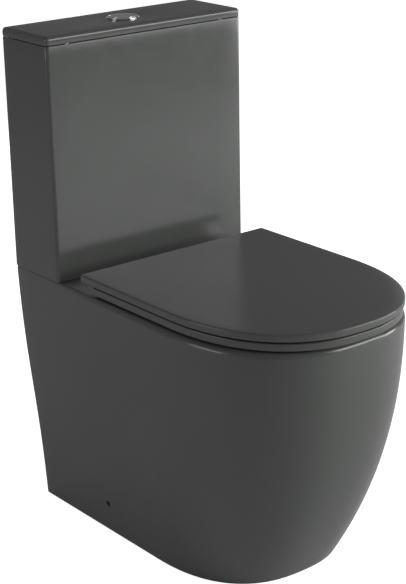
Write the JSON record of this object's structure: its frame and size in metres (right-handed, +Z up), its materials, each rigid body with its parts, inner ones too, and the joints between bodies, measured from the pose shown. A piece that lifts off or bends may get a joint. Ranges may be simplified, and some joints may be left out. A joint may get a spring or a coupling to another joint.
{
  "type": "close coupled toilet",
  "caption": "Close coupled toilet with a skirted back to wall pan, slim cistern, push button flush in a lift-off lid, and a D shaped seat and cover that lift.",
  "frame": {"origin": "on the floor, under the middle of the toilet's overall width and depth", "axes": "+X to the right seen from the front, +Y towards the wall, +Z up"},
  "size_m": [0.382, 0.635, 0.828],
  "materials": {
    "glaze": "satin",
    "seat": "satin",
    "chrome": "polished",
    "chromed_plastic": "polished",
    "white_plastic": "satin",
    "grey_plastic": "satin",
    "blue_plastic": "satin",
    "green_plastic": "satin",
    "rubber": "matte",
    "pad": "matte",
    "steel": "brushed",
    "brass": "satin"
  },
  "bodies": {
    "base": {"pan": "glaze", "coupling_gasket": "rubber", "platform_washers": "rubber", "cistern": "glaze", "cistern_bolts": "steel", "cistern_cone_washers": "rubber", "cistern_flat_washers": "steel", "cistern_wing_nuts": "brass", "flush_valve_base": "white_plastic", "flush_valve_washer": "rubber", "flush_valve_backnut": "white_plastic", "flush_valve_tower": "grey_plastic", "fill_valve_body": "white_plastic", "fill_valve_washer": "rubber", "fill_valve_nut": "white_plastic", "fill_valve_head": "grey_plastic", "fill_lever_pin": "steel", "hinge_plates": "chrome", "hinge_blocks": "chrome", "hinge_pins": "steel", "hinge_studs": "steel", "hinge_anchors": "rubber", "hinge_anchor_nuts": "brass", "floor_brackets": "steel", "side_screws": "steel"},
    "cistern_lid": {"cistern_lid": "glaze", "lid_pads": "pad", "button_bezel": "chromed_plastic", "button_locknut": "white_plastic"},
    "full_flush_button": {"full_flush_button": "chromed_plastic", "full_flush_stem": "white_plastic"},
    "half_flush_button": {"half_flush_button": "chromed_plastic", "half_flush_stem": "white_plastic"},
    "full_flush_plunger": {"full_flush_plunger": "blue_plastic"},
    "half_flush_plunger": {"half_flush_plunger": "green_plastic"},
    "valve_spindle": {"overflow_tube": "white_plastic", "valve_seal": "rubber"},
    "fill_float": {"float_cup": "white_plastic"},
    "fill_lever": {"fill_lever": "grey_plastic"},
    "seat_ring": {"seat_ring": "seat", "ring_buffers": "pad", "ring_damper": "grey_plastic"},
    "seat_cover": {"seat_cover": "seat", "cover_buffers": "pad", "cover_damper": "grey_plastic"}
  },
  "joints": [
    {"name": "cistern_lid_lift", "type": "slide", "parent": "base", "child": "cistern_lid", "axis": [0, 0, 1], "range_m": [0, 0.25]},
    {"name": "full_flush_press", "type": "slide", "parent": "cistern_lid", "child": "full_flush_button", "axis": [0, 0, -1], "range_m": [0, 0.006], "stiffness_N_per_m": 400, "springref_m": -0.006},
    {"name": "half_flush_press", "type": "slide", "parent": "cistern_lid", "child": "half_flush_button", "axis": [0, 0, -1], "range_m": [0, 0.006], "stiffness_N_per_m": 400, "springref_m": -0.006},
    {"name": "full_plunger_press", "type": "slide", "parent": "base", "child": "full_flush_plunger", "axis": [0, 0, -1], "range_m": [0, 0.006]},
    {"name": "half_plunger_press", "type": "slide", "parent": "base", "child": "half_flush_plunger", "axis": [0, 0, -1], "range_m": [0, 0.006]},
    {"name": "valve_lift", "type": "slide", "parent": "base", "child": "valve_spindle", "axis": [0, 0, 1], "range_m": [0, 0.0141]},
    {"name": "float_travel", "type": "slide", "parent": "base", "child": "fill_float", "axis": [0, 0, 1], "range_m": [0, 0.02]},
    {"name": "fill_lever_tilt", "type": "hinge", "parent": "base", "child": "fill_lever", "pos_m": [0.109, 0.2535, 0.743], "axis": [0, 1, 0], "range_deg": [0, 33.4]},
    {"name": "seat_ring_lift", "type": "hinge", "parent": "base", "child": "seat_ring", "pos_m": [0, 0.123, 0.442], "axis": [-1, 0, 0], "range_deg": [0, 94]},
    {"name": "cover_lift", "type": "hinge", "parent": "seat_ring", "child": "seat_cover", "pos_m": [0, 0.123, 0.442], "axis": [1, 0, 0], "range_deg": [-94, 0]}
  ],
  "couplings": [
    {"joint": "full_plunger_press", "follows": "full_flush_press", "ratio": 1},
    {"joint": "half_plunger_press", "follows": "half_flush_press", "ratio": 1},
    {"joint": "valve_lift", "follows": "full_flush_press", "ratio": 2.3333},
    {"joint": "fill_lever_tilt", "follows": "float_travel", "rad_per_m": 29}
  ]
}
